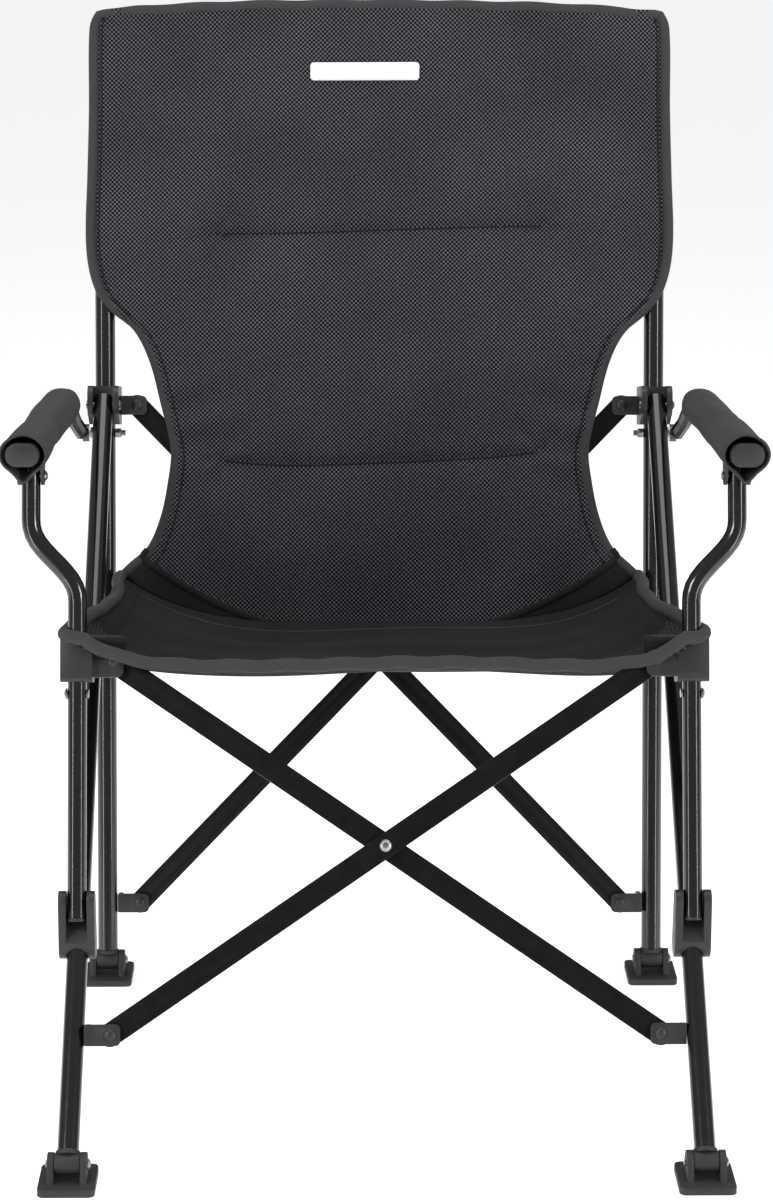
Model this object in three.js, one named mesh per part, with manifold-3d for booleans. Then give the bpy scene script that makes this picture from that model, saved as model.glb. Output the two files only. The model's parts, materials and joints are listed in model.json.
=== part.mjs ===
// High-back folding camp chair with hard armrests. Millimetres, +Z up, the sitter looks along -Y.
// The origin is on the floor, under the centre of the chair's box. "left" is the -X side.
import * as THREE from 'three';
import { mergeVertices } from 'three/addons/utils/BufferGeometryUtils.js';
import Module from 'manifold-3d';

const wasm = await Module();
wasm.setup();

// Driving dimensions
const HALF_WIDTH = 290;          // centre plane of each side frame, from the middle
const FRONT_FOOT_Y = -344.35;    // front foot pin, ahead of the origin
const FOOT_PIN_HEIGHT = 20;      // foot pins above the floor
const WHEELBASE = 490;           // front foot pin to rear foot pin
const POST_LEAN = 12.5;          // degrees, rear post leaning back
const POST_LENGTH = 1000;
const POST_RADIUS = 10.5;
const LEG_RADIUS = 10;
const SUPPORT_RADIUS = 9;
const WALL = 1.2;
const GAP = 0.4;                 // clearance between neighbouring pieces
const PIN_RADIUS = 3;

const BLOCK_HEIGHT = 590;        // rear slider block's centre along the post
const LEG_PIVOT_FORWARD = 30;    // leg pin ahead of the post's axis
const ARM_BOLT_HEIGHT = 561;     // armrest bolt along the post
const REAR_BRACKET_HEIGHT = 61;  // rear cross bars' lower pins along the post
const CLIP_HEIGHT = 246;         // leg clip's support pin along the leg
const CLIP_OFFSET = 31;          // support pin above the leg's axis
const ARM_PIN = { y: 272.1, z: 598 };    // armrest pin, from the front foot pin and the floor
const ARM_PIN_OUT = 44;          // armrest pin outboard of the side plane
const CORNER_HEIGHT = 226;       // seat corner block's centre along the arm support
const FRONT_BRACKET_HEIGHT = 124.5;      // front cross bars' lower pins along the leg
const PIN_INBOARD = 34;          // cross bar pins inboard of the side plane
const BAR_WIDTH = 22;
const BAR_THICKNESS = 7;

const rad = THREE.MathUtils.degToRad;

// Materials
const paint = (color, roughness, metalness) => new THREE.MeshStandardMaterial({ color, roughness, metalness });
const TUBE = paint(0x0c0c0e, 0.25, 0.6);
const BAR = paint(0x101012, 0.4, 0.5);
const MOULDED = paint(0x2a2b2e, 0.5, 0);
const FOOT = paint(0x2e2f31, 0.7, 0);
const STEEL = paint(0x8c8d90, 0.3, 1);
const PAD = paint(0x1d1e21, 0.9, 0);
const MESH = paint(0x1a1b20, 0.9, 0);
const LABEL = paint(0xe8e8e8, 0.6, 0);

// Side-view geometry: a point some way along a leaning line, and some way ahead of that line
function beside(origin, lean, along, ahead) {
  return {
    y: origin.y + along * Math.sin(lean) - ahead * Math.cos(lean),
    z: origin.z + along * Math.cos(lean) + ahead * Math.sin(lean),
  };
}
const leanOf = (from, to) => Math.atan2(to.y - from.y, to.z - from.z);
const distance = (from, to) => Math.hypot(to.y - from.y, to.z - from.z);

const postLean = rad(POST_LEAN);
const frontFoot = { y: FRONT_FOOT_Y, z: FOOT_PIN_HEIGHT };
const rearFoot = { y: FRONT_FOOT_Y + WHEELBASE, z: FOOT_PIN_HEIGHT };
const legPivot = beside(rearFoot, postLean, BLOCK_HEIGHT, LEG_PIVOT_FORWARD);
const legLean = leanOf(frontFoot, legPivot);
const legLength = distance(frontFoot, legPivot);
const supportPin = beside(frontFoot, legLean, CLIP_HEIGHT, CLIP_OFFSET);
const armPin = { y: FRONT_FOOT_Y + ARM_PIN.y, z: ARM_PIN.z };
const supportLean = leanOf(supportPin, armPin);
const supportLength = distance(supportPin, armPin);
const cornerPin = beside(supportPin, supportLean, CORNER_HEIGHT, 0);
const frontLowerPin = beside(frontFoot, legLean, FRONT_BRACKET_HEIGHT, 0);
const frontCrossLean = leanOf(frontLowerPin, cornerPin);
const frontCrossRise = distance(frontLowerPin, cornerPin);
const rearCrossRise = BLOCK_HEIGHT - REAR_BRACKET_HEIGHT;
const armBolt = beside(rearFoot, postLean, ARM_BOLT_HEIGHT, 0);
const pinSpacing = 2 * (HALF_WIDTH - PIN_INBOARD);

// Geometry helpers
const SIDE_VIEW = new THREE.Matrix4().makeBasis(
  new THREE.Vector3(0, 1, 0), new THREE.Vector3(0, 0, 1), new THREE.Vector3(1, 0, 0));
const FRONT_VIEW = new THREE.Matrix4().makeBasis(
  new THREE.Vector3(1, 0, 0), new THREE.Vector3(0, 0, 1), new THREE.Vector3(0, -1, 0));

function circle(radius, x = 0, y = 0) {
  return new THREE.Path().absarc(x, y, radius, 0, 2 * Math.PI, true);
}

function disc(radius, holeRadius = 0) {
  const shape = new THREE.Shape().absarc(0, 0, radius, 0, 2 * Math.PI, false);
  if (holeRadius > 0) shape.holes.push(circle(holeRadius));
  return shape;
}

function ellipse(halfWidth, halfHeight, holeRadius) {
  const shape = new THREE.Shape().absellipse(0, 0, halfWidth, halfHeight, 0, 2 * Math.PI, false, 0);
  shape.holes.push(circle(holeRadius));
  return shape;
}

function roundedBox(x0, y0, x1, y1, radius) {
  const shape = new THREE.Shape();
  shape.moveTo(x0 + radius, y0);
  shape.lineTo(x1 - radius, y0).absarc(x1 - radius, y0 + radius, radius, -Math.PI / 2, 0, false);
  shape.lineTo(x1, y1 - radius).absarc(x1 - radius, y1 - radius, radius, 0, Math.PI / 2, false);
  shape.lineTo(x0 + radius, y1).absarc(x0 + radius, y1 - radius, radius, Math.PI / 2, Math.PI, false);
  shape.lineTo(x0, y0 + radius).absarc(x0 + radius, y0 + radius, radius, Math.PI, 1.5 * Math.PI, false);
  return shape;
}

// The outline around two circles, such as a link's or a clip's
function capsule(x0, y0, r0, x1, y1, r1) {
  const angle = Math.atan2(y1 - y0, x1 - x0);
  const turn = Math.acos((r0 - r1) / Math.hypot(x1 - x0, y1 - y0));
  const shape = new THREE.Shape();
  shape.absarc(x0, y0, r0, angle + turn, angle - turn + 2 * Math.PI, false);
  shape.absarc(x1, y1, r1, angle - turn, angle + turn, false);
  return shape;
}

// A side-view outline made `width` thick across X, from x0
function acrossX(shape, x0, width, segments = 6) {
  const geometry = new THREE.ExtrudeGeometry(shape, { depth: width, bevelEnabled: false, curveSegments: segments });
  return geometry.applyMatrix4(SIDE_VIEW).translate(x0, 0, 0);
}

// A front-view outline made `width` thick, from y1 forwards
function alongY(shape, y1, width, segments = 3) {
  const geometry = new THREE.ExtrudeGeometry(shape, { depth: width, bevelEnabled: false, curveSegments: segments });
  return geometry.applyMatrix4(FRONT_VIEW).translate(0, y1, 0);
}

// A plan-view outline from z0 upwards
function alongZ(shape, z0, height, segments = 10) {
  const geometry = new THREE.ExtrudeGeometry(shape, { depth: height, bevelEnabled: false, curveSegments: segments });
  return geometry.translate(0, 0, z0);
}

const rod = (radius, x0, x1, segments = 12) =>
  new THREE.CylinderGeometry(radius, radius, x1 - x0, segments).rotateZ(-Math.PI / 2).translate((x0 + x1) / 2, 0, 0);

function solid(geometry) {
  const bare = geometry.index ? geometry.toNonIndexed() : geometry.clone();
  bare.deleteAttribute('normal');
  bare.deleteAttribute('uv');
  const merged = mergeVertices(bare, 1e-3);
  return new wasm.Manifold(new wasm.Mesh({
    numProp: 3,
    vertProperties: new Float32Array(merged.attributes.position.array),
    triVerts: new Uint32Array(merged.index.array),
  }));
}

function geometryOf(manifold) {
  const { vertProperties, triVerts } = manifold.getMesh();
  const geometry = new THREE.BufferGeometry();
  geometry.setAttribute('position', new THREE.BufferAttribute(new Float32Array(vertProperties), 3));
  geometry.setIndex(new THREE.BufferAttribute(new Uint32Array(triVerts), 1));
  geometry.computeVertexNormals();
  return geometry;
}

const join = (...parts) => geometryOf(parts.map(solid).reduce((a, b) => a.add(b)));
const cut = (body, ...tools) => geometryOf(tools.map(solid).reduce((a, b) => a.subtract(b), solid(body)));

// A domed rivet along X: a head outside x1, a shank, and a flat tail below x0 unless it is a stub
function rivet(x0, x1, radius = PIN_RADIUS, head = 6, tail = true) {
  const RISE = 3;
  const profile = [[0, x1 + RISE], [0.5 * head, x1 + 0.87 * RISE], [0.85 * head, x1 + 0.5 * RISE],
    [head, x1 + 0.6], [head, x1], [radius, x1], [radius, x0]];
  if (tail) profile.push([head * 0.8, x0], [head * 0.8, x0 - 1.5], [0, x0 - 1.5]);
  else profile.push([0, x0]);
  const points = profile.reverse().map(([r, x]) => new THREE.Vector2(r, x));
  return new THREE.LatheGeometry(points, 10).rotateZ(-Math.PI / 2);
}

// The same rivet along Y, its head in front
const rivetAlongY = (front, back, tail = true) =>
  rivet(-back, -front, PIN_RADIUS, 6, tail).rotateZ(-Math.PI / 2);

const chair = new THREE.Group();

function frameAt(x, point, lean) {
  const group = new THREE.Group();
  group.position.set(x, point.y, point.z);
  group.rotation.x = -lean;
  chair.add(group);
  return group;
}

function place(parent, name, geometry, material, x = 0, y = 0, z = 0) {
  const mesh = new THREE.Mesh(geometry, material);
  mesh.name = name;
  mesh.position.set(x, y, z);
  parent.add(mesh);
  return mesh;
}

// Feet: a shoe that tips on a pin, and a knuckle plugged into the tube's end
function foot(end, sideName, x, pin, lean, tubeRadius) {
  const level = frameAt(x, pin, 0);
  const SOLE = { halfWidth: 26, halfLength: 28, height: 7 };
  const base = alongZ(roundedBox(-SOLE.halfWidth, -SOLE.halfLength, SOLE.halfWidth, SOLE.halfLength, 6),
    -FOOT_PIN_HEIGHT, SOLE.height, 3);
  const earOutline = () => {
    const ear = new THREE.Shape();
    ear.moveTo(-18, -FOOT_PIN_HEIGHT + 3).lineTo(18, -FOOT_PIN_HEIGHT + 3).lineTo(10.5, 3);
    ear.absarc(0, 0, 10.9, 0.3, Math.PI - 0.3, false);
    ear.holes.push(circle(PIN_RADIUS + GAP));
    return ear;
  };
  const shoe = join(base, acrossX(earOutline(), 12, 6), acrossX(earOutline(), -18, 6));
  place(level, `${end}_foot_shoe_${sideName}`, shoe, FOOT);
  place(level, `${end}_foot_pin_${sideName}`, rivet(-18.4, 18.4, PIN_RADIUS, 5), STEEL);

  const leaning = frameAt(x, pin, lean);
  const boss = acrossX(disc(10, PIN_RADIUS + GAP), -11.5, 23);
  const collar = alongZ(disc(tubeRadius + 1.5), 7, 4);
  const plug = alongZ(disc(tubeRadius - WALL - GAP), 7, 24);
  place(leaning, `${end}_foot_knuckle_${sideName}`, join(boss, collar, plug), FOOT);
}

// A bracket for a cross bar's end: a block beside the tube, an ear in front of the bar and its rivet.
// `ear` is the ear's rear face; the bar lies behind it. An open pivot's rivet ends inside the ear.
function barBracket(side, reach, ear, barBack, open = false) {
  const [inner, outer] = [-side * (PIN_INBOARD + 10), -side * reach];
  const [x0, x1] = [Math.min(inner, outer), Math.max(inner, outer)];
  const plate = alongY(roundedBox(x0, -10, x1, 10, 5), ear, 3.6);
  const blockWidth = 5.5;
  const block = alongY(roundedBox(Math.min(outer, outer - side * blockWidth), -10,
    Math.max(outer, outer - side * blockWidth), 10, 1.5), 9, 9 - ear + 3.6);
  const head = ear - 3.6 + 0.2;
  const pin = open ? rivetAlongY(head, ear - 1, false) : rivetAlongY(head, barBack + GAP);
  return join(plate, block, pin.translate(-side * PIN_INBOARD, 0, 0));
}

const smoother = (k) => k * k * k * (k * (6 * k - 15) + 10);

// The arm support's centre line: straight, then an S-bend outboard below the armrest
class SupportCurve extends THREE.Curve {
  constructor(side) {
    super();
    this.side = side;
  }

  getPoint(t, target = new THREE.Vector3()) {
    const [low, high, bendStart, bendEnd] = [-15, supportLength + 8, 279, 362];
    const along = low + t * (high - low);
    const share = THREE.MathUtils.clamp((along - bendStart) / (bendEnd - bendStart), 0, 1);
    return target.set(this.side * ARM_PIN_OUT * smoother(share), 0, along);
  }
}

function sideFrame(side, sideName) {
  const x = side * HALF_WIDTH;
  const across = (a, b) => [Math.min(side * a, side * b), Math.abs(b - a)];

  // Rear post, with its foot, its lower bracket and the armrest bolt
  foot('rear', sideName, x, rearFoot, postLean, POST_RADIUS);
  const post = frameAt(x, rearFoot, postLean);
  const postTube = alongZ(disc(POST_RADIUS, POST_RADIUS - WALL), 11.5, POST_LENGTH - 11.5);
  const boltHole = rod(PIN_RADIUS + GAP, -POST_RADIUS - 5, POST_RADIUS + 5, 12).translate(0, 0, ARM_BOLT_HEIGHT);
  place(post, `rear_post_${sideName}`, cut(postTube, boltHole), TUBE);
  const nut = acrossX(new THREE.Shape().setFromPoints([0, 1, 2, 3, 4, 5].map((i) =>
    new THREE.Vector2(5.5 * Math.cos(i * Math.PI / 3), 5.5 * Math.sin(i * Math.PI / 3)))),
  ...across(-16.5, -POST_RADIUS - GAP));
  const [shankStart, shankLength] = across(-21, 16);
  const [spacerStart, spacerLength] = across(POST_RADIUS + GAP, 16);
  const boltBody = join(nut, rod(PIN_RADIUS, shankStart, shankStart + shankLength),
    rod(6, spacerStart, spacerStart + spacerLength));
  place(post, `armrest_bolt_${sideName}`, boltBody, STEEL, 0, 0, ARM_BOLT_HEIGHT);
  const barLayer = side < 0 ? 0 : -BAR_THICKNESS - GAP;   // which cross bar's end is on this side
  const lowerEar = barLayer - GAP / 2;
  place(post, `rear_lower_bracket_${sideName}`,
    barBracket(side, POST_RADIUS + GAP, lowerEar, barLayer + BAR_THICKNESS + GAP, side > 0), MOULDED,
    0, 0, REAR_BRACKET_HEIGHT);

  // Rear slider block: a sleeve round the post, with cheeks for the leg's top and a cross bar bracket
  const outline = new THREE.Shape();
  outline.moveTo(16, -20).lineTo(16, 20).lineTo(-30, 20);
  outline.absarc(-LEG_PIVOT_FORWARD, 8, 12, Math.PI / 2, Math.PI, false);
  outline.absarc(-LEG_PIVOT_FORWARD, 0, 12, Math.PI, 1.5 * Math.PI, false);
  outline.lineTo(-16, -20);
  const slot = new THREE.BoxGeometry(2 * (LEG_RADIUS + GAP), 40, 60).translate(0, -14.2 - 20, 0);
  const bore = alongZ(disc(POST_RADIUS + GAP), -30, 60);
  const pinHole = rod(PIN_RADIUS + GAP, -30, 30, 12).translate(0, -LEG_PIVOT_FORWARD, 0);
  place(post, `rear_slider_${sideName}`, cut(acrossX(outline, -16, 32, 8), bore, slot, pinHole), MOULDED,
    0, 0, BLOCK_HEIGHT);
  place(post, `leg_pin_${sideName}`, rivet(-16 - GAP, 16 + GAP, PIN_RADIUS, 5), STEEL,
    0, -LEG_PIVOT_FORWARD, BLOCK_HEIGHT);
  const upperLayer = side > 0 ? 0 : -BAR_THICKNESS - GAP;
  place(post, `rear_upper_bracket_${sideName}`,
    barBracket(side, 16 + GAP, upperLayer - GAP / 2, upperLayer + BAR_THICKNESS + GAP, true), MOULDED,
    0, 0, BLOCK_HEIGHT);

  // Front leg, its foot and the clip that slides on it
  foot('front', sideName, x, frontFoot, legLean, LEG_RADIUS);
  const leg = frameAt(x, frontFoot, legLean);
  const legTube = alongZ(disc(LEG_RADIUS, LEG_RADIUS - WALL), 11.5, legLength + 8 - 11.5);
  const legHole = rod(PIN_RADIUS + GAP, -20, 20, 12).translate(0, 0, legLength);
  place(leg, `front_leg_${sideName}`, cut(legTube, legHole), TUBE);
  const CLIP_HALF_WIDTH = 17;
  const clip = acrossX(capsule(0, -30, 13.5, -CLIP_OFFSET, 0, 10), -CLIP_HALF_WIDTH, 2 * CLIP_HALF_WIDTH, 8);
  const legBore = alongZ(disc(LEG_RADIUS + GAP), -80, 160);
  const fork = new THREE.BoxGeometry(2 * (SUPPORT_RADIUS + 0.8), 60, 100).translate(0, -13.5 - 30, 0);
  place(leg, `leg_clip_${sideName}`, cut(clip, legBore, fork), MOULDED, 0, 0, CLIP_HEIGHT);

  // Front cross bars' lower bracket, swivelling on the leg's inner side
  const cross = frameAt(x, frontLowerPin, frontCrossLean);
  const frontLayer = side < 0 ? -BAR_THICKNESS - GAP / 2 : GAP / 2;
  place(cross, `front_bracket_${sideName}`,
    barBracket(side, LEG_RADIUS + GAP, frontLayer - GAP, frontLayer + BAR_THICKNESS), MOULDED);

  // Arm support tube with its end plug, seat corner block and stop rivet
  const support = frameAt(x, supportPin, supportLean);
  const ring = disc(SUPPORT_RADIUS, SUPPORT_RADIUS - WALL);
  const swept = new THREE.ExtrudeGeometry(ring,
    { steps: 26, extrudePath: new SupportCurve(side), curveSegments: 6 });
  const armPinHole = rod(PIN_RADIUS + GAP, -30, 30, 12).translate(side * ARM_PIN_OUT, 0, supportLength);
  const stopHeight = CORNER_HEIGHT - 31;
  const stopHole = rod(2.5 + GAP, -30, 30, 12).translate(0, 0, stopHeight);
  place(support, `arm_support_${sideName}`, cut(swept, armPinHole, stopHole), TUBE);
  const plug = join(alongZ(disc(SUPPORT_RADIUS), -18.5, 3.1, 6),
    alongZ(disc(SUPPORT_RADIUS - WALL - 2 * GAP), -16, 14, 6));
  place(support, `support_plug_${sideName}`, plug, MOULDED);
  const stop = rivet(-SUPPORT_RADIUS - GAP, SUPPORT_RADIUS + GAP, 2.5, 5.5);
  place(support, `stop_rivet_${sideName}`, side > 0 ? stop : stop.rotateZ(Math.PI), STEEL, 0, 0, stopHeight);

  const upperBarFront = side > 0 ? -BAR_THICKNESS - GAP / 2 : GAP / 2;
  const lobeBack = upperBarFront - 0.8;
  const [lobeStart, lobeWidth] = across(-PIN_INBOARD - 10, 0);
  const lobe = alongY(roundedBox(lobeStart, -16, lobeStart + lobeWidth, 9, 7), lobeBack, 6);
  const sleeve = acrossX(roundedBox(-15, -20, 15, 21, 4), -15, 30, 3);
  const lobePin = rivetAlongY(lobeBack - 6 + 0.2, upperBarFront + BAR_THICKNESS + GAP)
    .translate(-side * PIN_INBOARD, 0, 0);
  for (const piece of [lobe, lobePin]) piece.rotateX(supportLean - frontCrossLean);   // square to the bars
  const supportBore = alongZ(disc(SUPPORT_RADIUS + GAP), -40, 80);
  place(support, `seat_corner_block_${sideName}`, cut(join(sleeve, lobe, lobePin), supportBore), MOULDED,
    0, 0, CORNER_HEIGHT);

  armrest(side, sideName, across);
}

function armrest(side, sideName, across) {
  const TUBE_RADIUS = 8;
  const EYE = { start: 17, width: 7, radius: 9.5 };
  const front = new THREE.Vector3(side * 338, FRONT_FOOT_Y + 244, 625);
  const rear = new THREE.Vector3(side * 326, FRONT_FOOT_Y + 552, 615);
  const eyeX = side * (HALF_WIDTH + EYE.start + EYE.width / 2 + 1);
  const route = new THREE.CurvePath();
  route.add(new THREE.LineCurve3(front, rear));
  const bendEnd = new THREE.Vector3(eyeX + side * 3, armBolt.y - 9, armBolt.z + 2);
  route.add(new THREE.CubicBezierCurve3(rear, rear.clone().lerp(front, -0.07),
    new THREE.Vector3(side * 325, armBolt.y - 26, armBolt.z + 18), bendEnd));
  const tube = new THREE.ExtrudeGeometry(disc(TUBE_RADIUS, TUBE_RADIUS - WALL),
    { steps: 18, extrudePath: route, curveSegments: 5 });
  const [eyeStart, eyeWidth] = across(HALF_WIDTH + EYE.start, HALF_WIDTH + EYE.start + EYE.width);
  const eye = acrossX(disc(EYE.radius, 0), eyeStart, eyeWidth).translate(0, armBolt.y, armBolt.z);
  const [holeStart, holeWidth] = across(HALF_WIDTH, HALF_WIDTH + 60);
  const eyeHole = rod(PIN_RADIUS + GAP, holeStart, holeStart + holeWidth, 12).translate(0, armBolt.y, armBolt.z);
  place(chair, `armrest_tube_${sideName}`, cut(join(tube, eye), eyeHole), TUBE);
  const head = rivet(0.6, EYE.width + GAP, PIN_RADIUS, 6, false);
  place(chair, `armrest_bolt_head_${sideName}`, side > 0 ? head : head.rotateZ(Math.PI), STEEL,
    side * (HALF_WIDTH + EYE.start), armBolt.y, armBolt.z);

  const direction = rear.clone().sub(front).normalize();
  const padPath = new THREE.LineCurve3(front.clone().addScaledVector(direction, 6),
    rear.clone().addScaledVector(direction, -16));
  const pad = new THREE.ExtrudeGeometry(ellipse(12.5, 17.5, TUBE_RADIUS + GAP),
    { steps: 1, extrudePath: padPath, curveSegments: 12 });
  const bracketSlot = new THREE.BoxGeometry(32, 34, 30).translate(side * (HALF_WIDTH + ARM_PIN_OUT), armPin.y, armPin.z + 2);
  place(chair, `armrest_pad_${sideName}`, cut(pad, bracketSlot), PAD);

  const capBody = alongY(roundedBox(-16, -11, 16, 11, 10.5), 0, 9, 6);
  const capPlug = alongY(disc(TUBE_RADIUS - WALL - 2 * GAP), 14, 16, 5);
  const capMesh = place(chair, `armrest_cap_${sideName}`, join(capBody, capPlug), MOULDED,
    front.x, front.y - GAP, front.z);
  capMesh.rotation.set(Math.atan2(direction.z, direction.y), 0, Math.atan2(-direction.x, direction.y));

  const pinX = side * (HALF_WIDTH + ARM_PIN_OUT);
  const CHEEK = { inner: SUPPORT_RADIUS + 0.6, thickness: 3, top: 17 };
  const cheekOutline = () => {
    const cheek = new THREE.Shape();
    cheek.moveTo(-9, 0).absarc(0, 0, 9, Math.PI, 2 * Math.PI, false);
    cheek.lineTo(12, CHEEK.top).lineTo(-12, CHEEK.top);
    cheek.holes.push(circle(PIN_RADIUS + GAP));
    return cheek;
  };
  const outer = CHEEK.inner + CHEEK.thickness;
  const bridge = new THREE.BoxGeometry(2 * outer, 24, 3).translate(0, 0, CHEEK.top - 1.5);
  const bracket = join(acrossX(cheekOutline(), CHEEK.inner, CHEEK.thickness),
    acrossX(cheekOutline(), -outer, CHEEK.thickness), bridge);
  place(chair, `armrest_bracket_${sideName}`, bracket, MOULDED, pinX, armPin.y, armPin.z);
  place(chair, `armrest_pin_${sideName}`, rivet(-outer - GAP, outer + GAP, PIN_RADIUS, 5), STEEL,
    pinX, armPin.y, armPin.z);
}

// Cross bars, between the two sides' pins, and the rivet through their middles
function crossBars(end, point, lean, rise) {
  const frame = frameAt(0, point, lean);
  const length = Math.hypot(pinSpacing, rise);
  const angle = Math.atan2(rise, pinSpacing);
  const outline = capsule(0, 0, BAR_WIDTH / 2, length, 0, BAR_WIDTH / 2);
  for (const station of [0, length / 2, length]) outline.holes.push(circle(PIN_RADIUS + GAP, station, 0));
  const bar = (rearFace) => alongY(outline, rearFace, BAR_THICKNESS, 8);
  const [frontFace, backFace] = [-GAP / 2, BAR_THICKNESS + GAP / 2];
  // The bar that rises to the right lies in front on the front pair, and behind on the rear pair
  const [rising, falling] = end === 'front' ? [frontFace, backFace] : [backFace, frontFace];
  place(frame, `${end}_cross_bar_rising_right`, bar(rising).rotateY(-angle), BAR, -pinSpacing / 2);
  place(frame, `${end}_cross_bar_rising_left`, bar(falling).rotateY(angle - Math.PI), BAR, pinSpacing / 2);
  const reach = BAR_THICKNESS + 1.5 * GAP;
  place(frame, `${end}_cross_rivet`, rivetAlongY(-reach, reach), STEEL, 0, 0, rise / 2);
}

// A closed sheet over a grid: surface(u, v) gives its front face, and back(u, v) its back face
function sheet(columns, rows, surface, back) {
  const positions = [];
  for (const face of [surface, back]) {
    for (let j = 0; j <= rows; j += 1) {
      for (let i = 0; i <= columns; i += 1) positions.push(...face(i / columns, j / rows));
    }
  }
  const layer = (columns + 1) * (rows + 1);
  const at = (i, j, side) => side * layer + j * (columns + 1) + i;
  const index = [];
  const quad = (a, b, c, d) => index.push(a, b, c, a, c, d);
  for (let j = 0; j < rows; j += 1) {
    for (let i = 0; i < columns; i += 1) {
      quad(at(i, j, 0), at(i + 1, j, 0), at(i + 1, j + 1, 0), at(i, j + 1, 0));
      quad(at(i, j, 1), at(i, j + 1, 1), at(i + 1, j + 1, 1), at(i + 1, j, 1));
    }
  }
  for (let i = 0; i < columns; i += 1) {
    quad(at(i, 0, 1), at(i + 1, 0, 1), at(i + 1, 0, 0), at(i, 0, 0));
    quad(at(i, rows, 0), at(i + 1, rows, 0), at(i + 1, rows, 1), at(i, rows, 1));
  }
  for (let j = 0; j < rows; j += 1) {
    quad(at(0, j, 0), at(0, j + 1, 0), at(0, j + 1, 1), at(0, j, 1));
    quad(at(columns, j, 1), at(columns, j + 1, 1), at(columns, j + 1, 0), at(columns, j, 0));
  }
  const geometry = new THREE.BufferGeometry();
  geometry.setAttribute('position', new THREE.BufferAttribute(new Float32Array(positions), 3));
  geometry.setIndex(index);
  geometry.computeVertexNormals();
  return geometry;
}

// Seat panel: hung between the corner blocks and the posts, sagging in the middle
function seat() {
  const SEAT = { halfWidth: 270, front: 222, rear: 546, frontTop: 459, rearTop: 446, sag: 32, thickness: 10 };
  const face = (drop) => (u, v) => {
    const x = SEAT.halfWidth * (2 * u - 1);
    const sag = SEAT.sag * (1 - (2 * u - 1) ** 2) * (1 + 0.5 * Math.sin(Math.PI * v));
    const z = THREE.MathUtils.lerp(SEAT.frontTop, SEAT.rearTop, v) - sag - drop;
    return [x, FRONT_FOOT_Y + THREE.MathUtils.lerp(SEAT.front, SEAT.rear, v), z];
  };
  place(chair, 'seat_panel', sheet(12, 8, face(0), face(SEAT.thickness)), MESH);
}

// Back panel: in front of the posts, wide above the armrests and drawn in above the seat
function back() {
  const BACK = { bottom: 432, top: 1003, narrow: 226, wide: 306, taperStart: 620, taperEnd: 730, ahead: 11.5,
    thickness: 10 };
  const frame = frameAt(0, rearFoot, postLean);
  const face = (ahead) => (u, v) => {
    const height = THREE.MathUtils.lerp(BACK.bottom, BACK.top, v);
    const share = THREE.MathUtils.clamp((height - BACK.taperStart) / (BACK.taperEnd - BACK.taperStart), 0, 1);
    return [(2 * u - 1) * THREE.MathUtils.lerp(BACK.narrow, BACK.wide, smoother(share)), -ahead, height];
  };
  const front = BACK.ahead + BACK.thickness;
  place(frame, 'back_panel', sheet(6, 20, face(front), face(BACK.ahead)), MESH);
  place(frame, 'back_label', alongY(roundedBox(-57, -9, 57, 9, 3), -front - GAP, 1), LABEL, -16, 0, 934);
}

for (const [side, sideName] of [[-1, 'left'], [1, 'right']]) sideFrame(side, sideName);
crossBars('front', frontLowerPin, frontCrossLean, frontCrossRise);
crossBars('rear', beside(rearFoot, postLean, REAR_BRACKET_HEIGHT, 0), postLean, rearCrossRise);
seat();
back();

export default chair;
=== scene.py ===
"""High-back folding camp chair: fabric, round tubes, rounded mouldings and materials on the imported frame.

Metres, +Z up, the sitter looks along -Y, and "left" is the -X side.
"""
import json
import math

import bmesh
import bpy
import numpy as np
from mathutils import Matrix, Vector

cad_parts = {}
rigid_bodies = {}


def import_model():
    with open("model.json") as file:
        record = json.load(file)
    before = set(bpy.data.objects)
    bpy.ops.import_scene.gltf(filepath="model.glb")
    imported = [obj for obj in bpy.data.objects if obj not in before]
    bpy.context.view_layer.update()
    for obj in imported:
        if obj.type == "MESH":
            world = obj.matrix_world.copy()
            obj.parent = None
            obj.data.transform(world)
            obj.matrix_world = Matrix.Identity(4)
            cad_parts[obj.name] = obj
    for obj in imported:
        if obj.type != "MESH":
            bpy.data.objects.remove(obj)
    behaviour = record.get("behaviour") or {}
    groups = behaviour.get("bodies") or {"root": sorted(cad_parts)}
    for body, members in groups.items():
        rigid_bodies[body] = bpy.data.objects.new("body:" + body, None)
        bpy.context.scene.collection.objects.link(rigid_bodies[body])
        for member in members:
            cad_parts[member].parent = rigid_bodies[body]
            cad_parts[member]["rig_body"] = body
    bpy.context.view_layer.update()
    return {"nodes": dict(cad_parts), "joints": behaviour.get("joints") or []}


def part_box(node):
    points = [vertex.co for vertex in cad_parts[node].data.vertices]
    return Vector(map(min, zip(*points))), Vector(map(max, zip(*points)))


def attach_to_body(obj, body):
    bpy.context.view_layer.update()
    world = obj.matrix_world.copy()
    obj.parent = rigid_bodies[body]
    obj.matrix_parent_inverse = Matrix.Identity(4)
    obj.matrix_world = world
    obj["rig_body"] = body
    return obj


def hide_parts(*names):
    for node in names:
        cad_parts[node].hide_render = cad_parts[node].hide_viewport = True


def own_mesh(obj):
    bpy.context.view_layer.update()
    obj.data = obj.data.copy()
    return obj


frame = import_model()

# ---------------------------------------------------------------- places, from the frame's joints
JOINTS = {j["name"]: j for j in frame["joints"]}


def pivot(name):
    return Vector(JOINTS[name]["pos_m"])


def in_middle(point):
    return Vector((0, point.y, point.z))


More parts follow.
